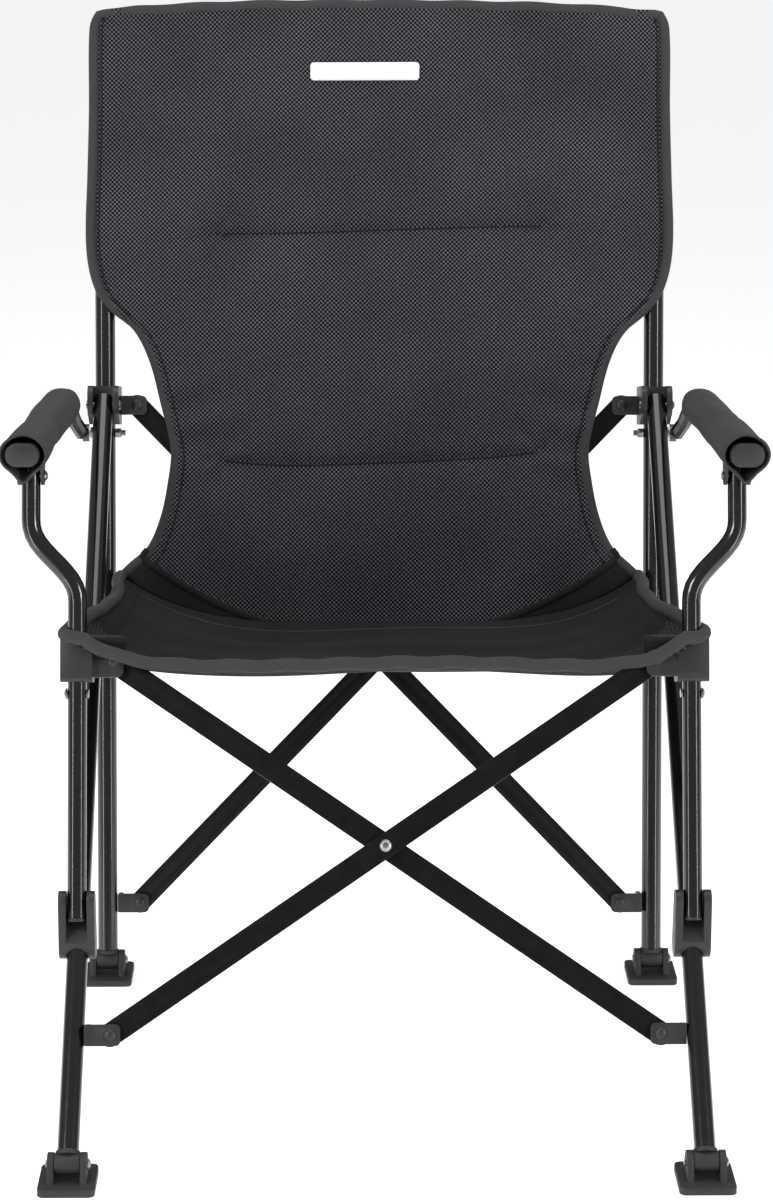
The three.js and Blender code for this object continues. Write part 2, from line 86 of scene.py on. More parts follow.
HALF_WIDTH = pivot("right_rear_foot_tip").x  # centre plane of each side frame
REAR_FOOT = in_middle(pivot("right_rear_foot_tip"))
FRONT_FOOT = in_middle(pivot("right_front_foot_tip"))
LEG_TOP = in_middle(pivot("right_leg_fold"))
CORNER_PIN = in_middle(pivot("right_support_turn"))
ARM_PIN = in_middle(pivot("right_armrest_turn"))
ARM_PIN_X = pivot("right_armrest_turn").x
POST_UP = Vector(JOINTS["fold"]["axis"])
POST_AHEAD = Vector((0, -POST_UP.z, POST_UP.y))
LEG_UP = (LEG_TOP - FRONT_FOOT).normalized()
SUPPORT_UP = (ARM_PIN - CORNER_PIN).normalized()

# Sizes that part.mjs also uses
POST_RADIUS = 0.0105
POST_START = 0.0115
POST_END = 1.0
LEG_RADIUS = 0.010
SUPPORT_RADIUS = 0.009
TUBE_WALL = 0.0012
CORNER_HEIGHT = 0.226  # corner pin above the support's lower pin

SIDES = (("left", -1), ("right", 1))


def on_post(x, along, ahead=0.0):
    return REAR_FOOT + Vector((x, 0, 0)) + POST_UP * along + POST_AHEAD * ahead


def mix(a, b, share):
    return a + (b - a) * share


def smooth_step(low, high, value):
    share = min(max((value - low) / (high - low), 0.0), 1.0)
    return share * share * (3 - 2 * share)


def through(points, value):
    """A smooth curve through (place, value) points, read at one place."""
    places = [p for p, _ in points]
    values = [v for _, v in points]
    value = min(max(value, places[0]), places[-1])
    i = min(max(sum(p <= value for p in places) - 1, 0), len(places) - 2)
    span = places[i + 1] - places[i]
    share = (value - places[i]) / span

    def slope(k):
        low, high = max(k - 1, 0), min(k + 1, len(places) - 1)
        return (values[high] - values[low]) / (places[high] - places[low])

    h0 = (1 + 2 * share) * (1 - share) ** 2
    h1 = share * (1 - share) ** 2
    h2 = share * share * (3 - 2 * share)
    h3 = share * share * (share - 1)
    return h0 * values[i] + h1 * span * slope(i) + h2 * values[i + 1] + h3 * span * slope(i + 1)


# ---------------------------------------------------------------- material helpers
class Nodes:
    """A material under construction: short calls for the nodes that the materials share."""

    def __init__(self, name):
        self.material = bpy.data.materials.new(name)
        self.material.use_nodes = True
        self.tree = self.material.node_tree
        self.shader = self.tree.nodes["Principled BSDF"]

    def node(self, kind, **settings):
        made = self.tree.nodes.new(kind)
        for key, value in settings.items():
            setattr(made, key, value)
        return made

    def link(self, output, target):
        self.tree.links.new(output, target)

    def set(self, **values):
        for key, value in values.items():
            self.shader.inputs[key.replace("_", " ")].default_value = value
        return self

    def math(self, operation, a, b=None, clamp=False):
        made = self.node("ShaderNodeMath", operation=operation, use_clamp=clamp)
        for socket, value in zip(made.inputs, (a, b)):
            if value is None:
                continue
            if isinstance(value, (int, float)):
                socket.default_value = value
            else:
                self.link(value, socket)
        return made.outputs[0]

    def coordinates(self, kind="Object"):
        return self.node("ShaderNodeTexCoord").outputs[kind]

    def noise(self, scale, detail=3.0, vector=None):
        made = self.node("ShaderNodeTexNoise")
        made.inputs["Scale"].default_value = scale
        made.inputs["Detail"].default_value = detail
        self.link(vector or self.coordinates(), made.inputs["Vector"])
        return made.outputs["Fac"]

    def between(self, share, low, high, from_low=0.3, from_high=0.7):
        made = self.node("ShaderNodeMapRange")
        self.link(share, made.inputs["Value"])
        settings = {"From Min": from_low, "From Max": from_high, "To Min": low, "To Max": high}
        for key, value in settings.items():
            made.inputs[key].default_value = value
        return made.outputs["Result"]

    def colours(self, share, dark, light):
        made = self.node("ShaderNodeMix", data_type="RGBA")
        self.link(share, made.inputs["Factor"])
        made.inputs[6].default_value = (*dark, 1)
        made.inputs[7].default_value = (*light, 1)
        return made.outputs[2]

    def bump(self, height, strength, distance):
        made = self.node("ShaderNodeBump")
        made.inputs["Strength"].default_value = strength
        made.inputs["Distance"].default_value = distance
        self.link(height, made.inputs["Height"])
        self.link(made.outputs["Normal"], self.shader.inputs["Normal"])

    def colour(self, output):
        self.link(output, self.shader.inputs["Base Color"])

    def roughness(self, output):
        self.link(output, self.shader.inputs["Roughness"])


def grey(value, blue=1.0):
    return (value, value, value * blue)


def painted(name, value, rough, coat, shine=0.5):
    m = Nodes(name).set(Coat_Weight=coat, Coat_Roughness=0.12, IOR=1.5, Specular_IOR_Level=shine)
    wear = m.noise(35, 4)
    m.colour(m.colours(m.between(wear, 0, 1), grey(value * 0.8, 1.08), grey(value * 1.3, 1.08)))
    m.roughness(m.between(m.noise(90, 5), rough * 0.85, rough * 1.2))
    m.bump(m.noise(900, 2), 0.05, 0.0002)
    return m.material


def moulded(name, value, rough, grain=1400):
    m = Nodes(name).set(IOR=1.45)
    cloud = m.noise(25, 3)
    m.colour(m.colours(m.between(cloud, 0, 1), grey(value * 0.85, 1.06), grey(value * 1.2, 1.06)))
    m.roughness(m.between(m.noise(60, 4), rough * 0.88, rough * 1.12))
    m.bump(m.noise(grain, 3), 0.22, 0.0003)
    return m.material


def plated_steel():
    m = Nodes("plated_steel").set(Metallic=1.0)
    stain = m.noise(160, 5)
    m.colour(m.colours(m.between(stain, 0, 1), grey(0.16), grey(0.46, 1.02)))
    m.roughness(m.between(m.noise(700, 4), 0.22, 0.42))
    m.bump(m.noise(1500, 2), 0.08, 0.0002)
    return m.material


def staggered_holes(m, pitch, size):
    """0 in a hole and 1 on the yarn, for holes in two interleaved rows over the cloth's own flat map."""
    split = m.node("ShaderNodeSeparateXYZ")
    m.link(m.coordinates("UV"), split.inputs[0])
    across = m.math("DIVIDE", split.outputs[0], pitch)
    along = m.math("DIVIDE", split.outputs[1], pitch)
    nearest = None
    for shift in (0.0, 0.5):
        x = m.math("SUBTRACT", m.math("FRACT", m.math("ADD", across, 50 + shift)), 0.5)
        y = m.math("SUBTRACT", m.math("FRACT", m.math("ADD", along, 50 + shift)), 0.5)
        far = m.math("SQRT", m.math("ADD", m.math("MULTIPLY", x, x), m.math("MULTIPLY", y, y)))
        nearest = far if nearest is None else m.math("MINIMUM", nearest, far)
    return m.between(nearest, 0.0, 1.0, size, size + 0.12)


def spacer_mesh(name, pitch, size, yarn, hole):
    m = Nodes(name).set(Sheen_Weight=0.04, Sheen_Roughness=0.5, Specular_IOR_Level=0.2)
    m.shader.inputs["Sheen Tint"].default_value = (0.55, 0.58, 0.7, 1)
    solid = staggered_holes(m, pitch, size)
    fibre = m.noise(2600, 3)
    lit = m.math("MULTIPLY", solid, m.between(fibre, 0.7, 1.0))
    cloud = m.between(m.noise(9, 3), 0.8, 1.15)
    m.colour(m.colours(m.math("MULTIPLY", lit, cloud, clamp=True), hole, yarn))
    m.roughness(m.between(solid, 0.95, 0.62, 0, 1))
    m.bump(lit, 0.75, 0.0009)
    return m.material


def ribbed_cloth(name, value, pitch):
    """A close knit with fine ribs that run from the front of the seat to its back."""
    m = Nodes(name).set(Sheen_Weight=0.03, Sheen_Roughness=0.5, Specular_IOR_Level=0.2)
    split = m.node("ShaderNodeSeparateXYZ")
    m.link(m.coordinates("UV"), split.inputs[0])
    wander = m.math("MULTIPLY", m.math("SINE", m.math("MULTIPLY", split.outputs[1], 1900)), 0.12)
    turn = m.math("ADD", m.math("DIVIDE", split.outputs[0], pitch / (2 * math.pi)), wander)
    rib = m.math("ADD", m.math("MULTIPLY", m.math("SINE", turn), 0.5), 0.5)
    cloud = m.between(m.noise(11, 3), 0.75, 1.15)
    m.colour(m.colours(m.math("MULTIPLY", rib, cloud, clamp=True), grey(value * 0.35), grey(value, 1.05)))
    m.roughness(m.between(m.noise(500, 3), 0.7, 0.9))
    m.bump(rib, 0.5, 0.0006)
    return m.material


def woven(name, value, scale=1500, strength=0.5):
    m = Nodes(name).set(Sheen_Weight=0.06, Sheen_Roughness=0.45, Specular_IOR_Level=0.2)
    split = m.node("ShaderNodeSeparateXYZ")
    m.link(m.coordinates(), split.inputs[0])
    threads = scale * 2.2  # threads turn this many radians in a metre
    across, along, height = split.outputs
    down = m.math("SINE", m.math("MULTIPLY", m.math("ADD", height, across), threads))
    over = m.math("SINE", m.math("MULTIPLY", m.math("SUBTRACT", along, across), threads))
    weave = m.math("ADD", m.math("MULTIPLY", m.math("MULTIPLY", down, over), 0.5), 0.5)
    cloud = m.between(m.noise(30, 4), 0.7, 1.1)
    m.colour(m.colours(m.math("MULTIPLY", weave, cloud, clamp=True), grey(value * 0.55), grey(value, 1.06)))
    m.roughness(m.between(m.noise(400, 3), 0.75, 0.95))
    m.bump(weave, strength, 0.0006)
    return m.material


def label_cloth():
    m = Nodes("label_cloth").set(Roughness=0.6)
    m.colour(m.colours(m.between(m.noise(900, 3), 0, 1), grey(0.72), grey(0.88)))
    m.bump(m.noise(1800, 2), 0.25, 0.0003)
    return m.material


TUBE = painted("gloss_black_tube", 0.0030, 0.16, 0.5)
BAR = painted("satin_black_bar", 0.0035, 0.36, 0.0, 0.22)
MOULDED = moulded("moulded_grey", 0.022, 0.42)
FOOT = moulded("foot_grey", 0.024, 0.6, 900)
STEEL = plated_steel()
MESH = spacer_mesh("back_mesh", 0.0046, 0.26, (0.140, 0.142, 0.165), (0.0010, 0.0010, 0.0014))
COARSE = spacer_mesh("coarse_mesh", 0.0064, 0.30, (0.110, 0.111, 0.122), (0.001, 0.001, 0.0015))
RIBBED = ribbed_cloth("ribbed_knit", 0.013, 0.0019)
BINDING = woven("woven_binding", 0.058)
SLEEVE = woven("armrest_cloth", 0.050, 2100, 0.35)
POCKET = woven("pocket_cloth", 0.012, 1900, 0.3)
THREAD = woven("seam_thread", 0.010, 2600, 0.3)
LABEL = label_cloth()

# ---------------------------------------------------------------- mesh helpers
def add_object(name, vertices, faces, material, smooth=True, flat_map=None):
    mesh = bpy.data.meshes.new(name)
    mesh.from_pydata([tuple(v) for v in vertices], [], faces)
    mesh.validate()
    if flat_map is not None:
        layer = mesh.uv_layers.new(name="flat")
        for loop in mesh.loops:
            layer.data[loop.index].uv = flat_map[loop.vertex_index]
    repair = bmesh.new()
    repair.from_mesh(mesh)
    bmesh.ops.recalc_face_normals(repair, faces=repair.faces)
    repair.to_mesh(mesh)
    repair.free()
    mesh.materials.append(material)
    mesh.polygons.foreach_set("use_smooth", [smooth] * len(mesh.polygons))
    made = bpy.data.objects.new(name, mesh)
    bpy.context.scene.collection.objects.link(made)
    return made


def sweep(name, points, rings, material, closed=False):
    """A closed skin over rings of points, one ring at each point of a path."""
    count = len(rings[0])
    vertices = [v for ring in rings for v in ring]
    faces = []
    steps = len(rings) if closed else len(rings) - 1
    for i in range(steps):
        low, high = i * count, (i + 1) % len(rings) * count
        for k in range(count):
            after = (k + 1) % count
            faces.append((low + k, low + after, high + after, high + k))
    if not closed:
        faces.append(tuple(range(count)))
        faces.append(tuple(range((len(rings) - 1) * count, len(rings) * count)))
    lengths = np.concatenate([[0], np.cumsum([(b - a).length for a, b in zip(points, points[1:])])])
    flat = [(0.09 * k / count, lengths[i]) for i in range(len(rings)) for k in range(count)]
    return add_object(name, vertices, faces, material, flat_map=flat)


def directions(points, closed=False):
    found = []
    for i in range(len(points)):
        before = points[i - 1] if closed or i else points[i]
        after = points[(i + 1) % len(points)] if closed or i + 1 < len(points) else points[i]
        found.append((after - before).normalized())
    return found


def band(name, points, normals, half_width, half_height, material, closed=False, sides=12):
    """A flattened round section along a path, `half_height` measured along the normals."""
    rings = []
    heights = half_height if isinstance(half_height, list) else [half_height] * len(points)
    for point, tangent, normal, height in zip(points, directions(points, closed), normals, heights):
        side = tangent.cross(normal).normalized()
        up = side.cross(tangent).normalized()
        ring = []
        for k in range(sides):
            turn = 2 * math.pi * k / sides
            ring.append(point + side * half_width * math.cos(turn) + up * height * math.sin(turn))
        rings.append(ring)
    return sweep(name, points, rings, material, closed)


def round_tube(name, points, radius, material, sides=36, wall=TUBE_WALL):
    """A hollow tube along a path in one plane, or nearly: outside, inside and two ring-shaped ends."""
    guide = Vector((1, 0, 0))
    rings = []
    for point, tangent in zip(points, directions(points)):
        up = tangent.cross(guide).normalized()
        side = up.cross(tangent).normalized()
        rings.append((point, side, up))
    vertices = []
    for r in (radius, radius - wall):
        for point, side, up in rings:
            for k in range(sides):
                turn = 2 * math.pi * k / sides
                vertices.append(point + side * r * math.cos(turn) + up * r * math.sin(turn))
    inner = len(rings) * sides
    faces = []
    for i in range(len(rings) - 1):
        for k in range(sides):
            after = (k + 1) % sides
            low, high = i * sides, (i + 1) * sides
            faces.append((low + k, low + after, high + after, high + k))
            faces.append((inner + low + k, inner + high + k, inner + high + after, inner + low + after))
    for end in (0, (len(rings) - 1) * sides):
        for k in range(sides):
            after = (k + 1) % sides
            faces.append((end + k, inner + end + k, inner + end + after, end + after))
    made = add_object(name, vertices, faces, material)
    sharpen(made, 50)
    return made


def sharpen(made, degrees):
    """Smooth shading that keeps corners sharper than `degrees` crisp."""
    limit = math.radians(degrees)
    work = bmesh.new()
    work.from_mesh(made.data)
    for edge in work.edges:
        edge.smooth = len(edge.link_faces) == 2 and edge.calc_face_angle(0) < limit
    work.to_mesh(made.data)
    work.free()
    made.data.polygons.foreach_set("use_smooth", [True] * len(made.data.polygons))


def finish_modifiers(made):
    graph = bpy.context.evaluated_depsgraph_get()
    mesh = bpy.data.meshes.new_from_object(made.evaluated_get(graph))
    made.modifiers.clear()
    made.data = mesh


def attach(made, body, slot_name, *nodes):
    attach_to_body(made, body)
    if nodes:
        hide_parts(*nodes)
    return made


def rounded_copy(node, material, radius, slot_name, segments=2):
    """A CAD node's shape with softened edges."""
    source = frame["nodes"][node]
    work = bmesh.new()
    work.from_mesh(source.data)
    bmesh.ops.remove_doubles(work, verts=work.verts, dist=1e-5)
    bmesh.ops.dissolve_limit(work, angle_limit=math.radians(1), verts=work.verts, edges=work.edges)
    mesh = bpy.data.meshes.new(node + "_shape")
    work.to_mesh(mesh)
    work.free()
    mesh.materials.clear()
    mesh.materials.append(material)
    made = bpy.data.objects.new(node + "_shape", mesh)
    bpy.context.scene.collection.objects.link(made)
    bevel = made.modifiers.new("bevel", "BEVEL")
    bevel.width = radius
    bevel.segments = segments
    bevel.limit_method = "ANGLE"
    bevel.angle_limit = math.radians(35)
    bevel.use_clamp_overlap = True
    finish_modifiers(made)
    sharpen(made, 30)
    return attach(made, source["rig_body"], slot_name, node)


# ---------------------------------------------------------------- camera, light and floor
CAMERA_X, CAMERA_AHEAD, CAMERA_HEIGHT = -0.0435, 2.462, 1.2165  # ahead of the front feet's pins
LOOKING_DOWN, ROLL, TURNED = 15.15, -0.2, -0.9  # degrees
SENSOR_HEIGHT, FOCAL_LENGTH = 24, 59.2  # millimetres
SKY_STRENGTH = 0.32
FLOOR_HALF = 30
FLOOR_GLOW = 0.6
LAMPS = (  # name, place, width, height, watts
    ("key", (-2.1, -1.9, 2.3), 0.9, 0.9, 38),
    ("fill", (2.3, -1.6, 1.8), 0.8, 0.8, 24),
    ("top", (0.0, 0.3, 3.0), 2.2, 2.2, 40),
    ("left_strip", (-1.9, -1.5, 0.35), 0.16, 2.6, 16),
    ("right_strip", (1.9, -1.5, 0.35), 0.16, 2.6, 16),
)


def stage():
    camera = bpy.data.cameras.new("camera")
    camera.sensor_fit = "VERTICAL"
    camera.sensor_height = SENSOR_HEIGHT
    camera.lens = FOCAL_LENGTH
    holder = bpy.data.objects.new("camera", camera)
    bpy.context.scene.collection.objects.link(holder)
    holder.location = (CAMERA_X, FRONT_FOOT.y - CAMERA_AHEAD, CAMERA_HEIGHT)
    holder.rotation_euler = [math.radians(turn) for turn in (90 - LOOKING_DOWN, ROLL, TURNED)]
    bpy.context.scene.camera = holder

    world = bpy.data.worlds.new("studio")
    world.use_nodes = True
    world.node_tree.nodes["Background"].inputs["Color"].default_value = (1, 1, 1, 1)
    world.node_tree.nodes["Background"].inputs["Strength"].default_value = SKY_STRENGTH
    bpy.context.scene.world = world
    bpy.context.scene.view_settings.view_transform = "Standard"

    for name, place, size, height, power in LAMPS:
        lamp = bpy.data.lights.new(name, "AREA")
        lamp.shape = "RECTANGLE"
        lamp.size = size
        lamp.size_y = height
        lamp.energy = power
        held = bpy.data.objects.new(name, lamp)
        held.location = place
        held.rotation_euler = (Vector((0, 0, 0.5)) - Vector(place)).to_track_quat("-Z", "Y").to_euler()
        bpy.context.scene.collection.objects.link(held)

    corners = [(x * FLOOR_HALF, y * FLOOR_HALF, 0) for x, y in ((-1, -1), (1, -1), (1, 1), (-1, 1))]
    pale = Nodes("pale_floor").set(Roughness=0.9)
    pale.colour(pale.colours(pale.noise(2), grey(0.93), grey(0.95)))
    pale.shader.inputs["Emission Color"].default_value = (1, 1, 1, 1)
    pale.shader.inputs["Emission Strength"].default_value = FLOOR_GLOW
    add_object("floor", corners, [(0, 1, 2, 3)], pale.material, smooth=False)


# ---------------------------------------------------------------- frame tubes
def line(start, end, steps=2):
    return [start.lerp(end, i / (steps - 1)) for i in range(steps)]


def support_path(side):
    """The arm support: straight, then an S-bend outboard below the armrest."""
    lower_pin = CORNER_PIN - SUPPORT_UP * CORNER_HEIGHT
    length = (ARM_PIN - lower_pin).length
    start, end, bend_start, bend_end = -0.015, length + 0.008, 0.279, 0.362
    points = []
    for i in range(61):
        along = mix(start, end, i / 60)
        share = min(max((along - bend_start) / (bend_end - bend_start), 0), 1)
        out = (ARM_PIN_X - HALF_WIDTH) * share**3 * (share * (6 * share - 15) + 10)
        points.append(lower_pin + SUPPORT_UP * along + Vector((side * (HALF_WIDTH + out), 0, 0)))
    return points


def tubes(name, side):
    x = Vector((side * HALF_WIDTH, 0, 0))
    post = line(REAR_FOOT + x + POST_UP * POST_START, REAR_FOOT + x + POST_UP * POST_END)
    attach(round_tube(f"post_tube_{name}", post, POST_RADIUS, TUBE), f"{name}_post",
           "gloss_black_tube", f"rear_post_{name}")
    leg_length = (LEG_TOP - FRONT_FOOT).length
    leg = line(FRONT_FOOT + x + LEG_UP * POST_START, FRONT_FOOT + x + LEG_UP * (leg_length + 0.008))
    attach(round_tube(f"leg_tube_{name}", leg, LEG_RADIUS, TUBE), f"{name}_leg",
           "gloss_black_tube", f"front_leg_{name}")
    support = round_tube(f"support_tube_{name}", support_path(side), SUPPORT_RADIUS, TUBE)
    attach(support, f"{name}_arm_support", "gloss_black_tube", f"arm_support_{name}")


# ---------------------------------------------------------------- back
# Half the back's width, by height along the posts
BACK_OUTLINE = (
    (0.405, 0.279), (0.418, 0.266), (0.436, 0.246), (0.469, 0.231), (0.510, 0.222), (0.545, 0.219),
    (0.595, 0.230), (0.640, 0.242), (0.672, 0.259), (0.692, 0.283), (0.708, 0.296), (0.735, 0.305),
    (0.770, 0.308), (0.830, 0.306), (0.900, 0.304), (0.985, 0.303), (1.000, 0.297), (1.006, 0.290),
)
BACK_TOP = 1.003
BACK_BOTTOM = 0.410
SEAM_DROP = 0.052  # how far the seat seam hangs below its corners, in the middle
CROWN = 0.009  # how far the top edge's middle stands above its corners
CHANNELS = ((0.776, 0.172), (0.552, 0.170))  # sewn lines: height, half length
CLOTH = 0.008
SLEEVE_START = 0.274  # from here outwards the cloth wraps round the post
SLEEVE_FROM, SLEEVE_FULL = 0.66, 0.71  # heights where the sleeve begins and is whole
SLEEVE_DEPTH = 0.0150
EDGE_SEAM_INSET = 0.0125
BAR_CLEARANCE = 0.009  # the back's rear face stays this far ahead of the posts, clear of the rear bars
GUSSET_START = 0.117  # where each dark gusset patch starts, from the middle: dark gusset cloth with painted shade of the deep fold
GUSSET_RISE = 0.28


def back_place(s, t):
    """Height and half-width for a point that is s across (-1 to 1) and t up (0 to 1)."""
    height = mix(BACK_BOTTOM, BACK_TOP, t)
    half = through(BACK_OUTLINE, height)
    low = (1 - t) ** 3 * (1 - abs(s) ** 4) * SEAM_DROP
    top = t**6 * (1 - s * s) * CROWN
    return height - low + top, half, height


def creases(x, height):
    """Pull lines and pillow shapes: soft hollows beside the sewn channels, and wrinkles towards the waist."""
    depth = 0.0
    for channel, half in CHANNELS:
        reach = smooth_step(half + 0.022, half - 0.006, abs(x))
        away = height - channel - 0.004 * math.sin(9 * x)
        pucker = 1 + 0.25 * math.sin(x * 260) + 0.15 * math.sin(x * 411 + 1)
        depth += reach * pucker * 0.0046 * math.exp(-((away / 0.0055) ** 2))
        depth += reach * 0.0040 * math.exp(-((away / 0.028) ** 2))
        fan = math.hypot(abs(x) - half, away * 1.4)
        depth -= 0.0022 * math.exp(-((fan / 0.03) ** 2)) * math.sin(math.atan2(away, abs(x) - half) * 5)
    waist = math.exp(-(((height - 0.575) / 0.05) ** 2)) * smooth_step(0.11, 0.21, abs(x))
    depth += 0.0035 * waist * math.sin((height - 0.5) * 150 + abs(x) * 60)
    depth += 0.0030 * math.sin(x * 17 + 1.3) * math.sin(height * 19 + 0.4)
    depth += 0.0012 * math.sin(x * 41 + height * 23)
    lip = smooth_step(0.955, 0.985, height) * smooth_step(1.0, 0.985, height)
    return depth + 0.0018 * lip * math.sin(x * 52)


def in_sleeve(height):
    return smooth_step(SLEEVE_FROM, SLEEVE_FULL, height)


def back_front(s, t):
    along, half, height = back_place(s, t)
    x = s * half
    sling = 0.0165 + 0.002 * (1 - s * s) * smooth_step(0, 0.12, t)
    inner = smooth_step(1.0, 0.93, abs(s))
    ahead = sling + 0.004 * inner - creases(x, height) * inner
    round_off = in_sleeve(height) * max(abs(x) - SLEEVE_START, 0) / (half - SLEEVE_START + 1e-6)
    wrapped = smooth_step(0.24, SLEEVE_START, abs(x)) * in_sleeve(height)
    ahead = mix(ahead, SLEEVE_DEPTH, wrapped)
    return x, along, ahead * math.sqrt(max(1 - min(round_off, 1) ** 2, 0))


def back_rear(s, t):
    x, along, ahead = back_front(s, t)
    _, half, height = back_place(s, t)
    sleeve = in_sleeve(height)
    round_off = sleeve * max(abs(x) - SLEEVE_START, 0) / (half - SLEEVE_START + 1e-6)
    behind = -SLEEVE_DEPTH * math.sqrt(max(1 - min(round_off, 1) ** 2, 0))
    share = smooth_step(0.252, SLEEVE_START, abs(x)) * sleeve
    return x, along, mix(min(max(ahead - CLOTH, BAR_CLEARANCE), ahead - 0.0025), behind, share)


def shell(name, across, along, front, rear, material, place):
    """A closed panel from a front and a rear face over the same grid, joined round its edge."""
    vertices, flat = [], []
    for face in (front, rear):
        for j in range(along + 1):
            for i in range(across + 1):
                s, t = 2 * i / across - 1, j / along
                local = face(s, t)
                vertices.append(place(*local))
                flat.append((local[0], local[1]))
    width = across + 1
    layer = width * (along + 1)
    faces = []
    for j in range(along):
        for i in range(across):
            a = j * width + i
            faces.append((a, a + 1, a + 1 + width, a + width))
            faces.append((layer + a, layer + a + width, layer + a + 1 + width, layer + a + 1))
    ring = [i for i in range(across)]
    ring += [j * width + across for j in range(along)]
    ring += [along * width + i for i in range(across, 0, -1)]
    ring += [j * width for j in range(along, 0, -1)]
    for a, b in zip(ring, ring[1:] + ring[:1]):
        faces.append((a, b, b + layer, a + layer))
    return add_object(name, vertices, faces, material, flat_map=flat)


def fold_with_chair(made, body):
    """Rides on a body, with a mesh of its own."""
    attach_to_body(made, body)
    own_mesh(made)
    return made


def stitch(name, run, normal, half_width, half_height, material, body):
    """A row of stitches or a narrow fold along a path on the fabric."""
    made = band(name, run, [normal] * len(run), half_width, half_height, material, sides=6)
    fold_with_chair(made, body)
    return made


def edge_path(front, rear, inset, steps_up, steps_across):
    """Points up one side, over the top and down the other side of a panel, mid-way between its faces."""
    route = [(-1, t) for t in np.linspace(0, 1, steps_up)]
    route += [(s, 1) for s in np.linspace(-1, 1, steps_across)[1:-1]]
    route += [(1, t) for t in np.linspace(1, 0, steps_up)]
    points = []
    for s, t in route:
        x, along, ahead = (np.array(front(s, t)) + np.array(rear(s, t))) / 2
        if abs(s) == 1:
            x -= math.copysign(inset, x)
        if t == 1:
            along -= inset
        points.append((x, along, ahead))
    return points


def gusset_shade_height(x):
    """The upper edge of the dark patch above the seat's seam: dark gusset cloth with painted shade of the
    deep fold.
    """
    s = min(abs(x) / 0.275, 1)
    return BACK_BOTTOM - SEAM_DROP * (1 - s**4) + GUSSET_RISE * (abs(x) - GUSSET_START)


def gusset_shade_folds():
    """A soft fold along each gusset's upper edge, in dark cloth that is partly painted shade of the crease.
    """
    for name, side in SIDES:
        run = []
        for x in np.linspace(GUSSET_START, 0.258, 70):
            t = 0
            for _ in range(8):
                s = min(x / back_place(0, t)[1], 1)
                low = (1 - t) ** 3 * (1 - s**4) * SEAM_DROP
                t = max((gusset_shade_height(x) + low - BACK_BOTTOM) / (BACK_TOP - BACK_BOTTOM), 0)
            _, along, ahead = back_front(side * s, t)
            run.append(on_post(side * s * back_place(0, t)[1], along, ahead))
        # The band's dark pocket cloth is partly painted shade of the crease along the gusset edge.
        fold = band(f"gusset_shade_band_{name}", run, [POST_AHEAD] * len(run), 0.0042, 0.0024, POCKET, sides=12)
        fold_with_chair(fold, "left_post")


def back():
    panel = shell("back_fabric", 120, 150, back_front, back_rear, MESH, on_post)
    panel.data.materials.append(POCKET)
    # The lower outer corners below each gusset edge take the dark pocket cloth: partly gusset cloth, partly
    # painted shade of the deep fold.
    for polygon in panel.data.polygons:
        spot = polygon.center - REAR_FOOT
        if abs(spot.x) > GUSSET_START and spot.dot(POST_UP) < gusset_shade_height(spot.x):
            polygon.material_index = 1
    fold_with_chair(panel, "left_post")
    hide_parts("back_panel")

    route = edge_path(back_front, back_rear, 0.0040, 130, 90)
    points, heights = [], []
    for x, along, ahead in route:
        sleeve = in_sleeve(along) * smooth_step(0.25, SLEEVE_START, abs(x))
        points.append(on_post(x, along + 0.0006 * math.sin(x * 90), ahead + 0.0065 * sleeve))
        heights.append(mix(CLOTH / 2 + 0.0017, 0.0085, sleeve))
    binding = band("back_binding", points, [POST_AHEAD] * len(points), 0.0058, heights, BINDING, sides=14)
    fold_with_chair(binding, "left_post")

    for side_name, s_side in SIDES:
        run = []
        for t in np.linspace(0.02, 0.985, 150):
            half = back_place(s_side, t)[1]
            x, along, ahead = back_front(s_side * (1 - EDGE_SEAM_INSET / half), t)
            run.append(on_post(x, along, ahead + 0.0002))
        stitch(f"back_seam_{side_name}_0", run, POST_AHEAD, 0.0007, 0.0006, THREAD, "left_post")

    for index, (channel, half) in enumerate(CHANNELS):
        run = []
        t = (channel - BACK_BOTTOM) / (BACK_TOP - BACK_BOTTOM)
        for x in np.linspace(-half, half, 120):
            shifted = t + 0.004 * math.sin(9 * x) / (BACK_TOP - BACK_BOTTOM)
            local = back_front(x / back_place(0, shifted)[1], shifted)
            run.append(on_post(local[0], local[1], local[2] + 0.0003))
        stitch(f"channel_thread_{index}", run, POST_AHEAD, 0.0009, 0.0007, THREAD, "left_post")
    gusset_shade_folds()
    label()


def label():
    """A plain blank label, sewn on flat below the top edge."""
    low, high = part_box("back_label")
    half, tall, corner = (high.x - low.x) / 2, 0.009, 0.004
    middle = (low + high) / 2
    centre = (middle - REAR_FOOT).dot(POST_UP)
    outline = []
    for turn in range(0, 360, 15):
        a = math.radians(turn)
        x = math.copysign(half - corner, math.cos(a)) + corner * math.cos(a)
        y = math.copysign(tall - corner, math.sin(a)) + corner * math.sin(a)
        outline.append((x, y))
    rings = []
    for shrink, lift in ((1.0, 0.0004), (1.0, 0.0014), (0.985, 0.0019), (0.0, 0.0019)):
        ring = []
        for x, y in outline:
            px, py = middle.x + x * shrink, y * shrink
            t = (centre + py - BACK_BOTTOM) / (BACK_TOP - BACK_BOTTOM)
            s = px / back_place(0, t)[1]
            ahead = back_front(s, t)[2]
            along = back_place(s, t)[0]
            ring.append(on_post(px, along, ahead + lift + 0.0003))
        rings.append(ring)
    path = [ring[0] for ring in rings]
    made = sweep("label_patch", path, rings, LABEL)
    work = bmesh.new()
    work.from_mesh(made.data)
    bmesh.ops.remove_doubles(work, verts=work.verts, dist=1e-6)
    bmesh.ops.recalc_face_normals(work, faces=work.faces)
    work.to_mesh(made.data)
    work.free()
    fold_with_chair(made, "left_post")
    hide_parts("back_label")


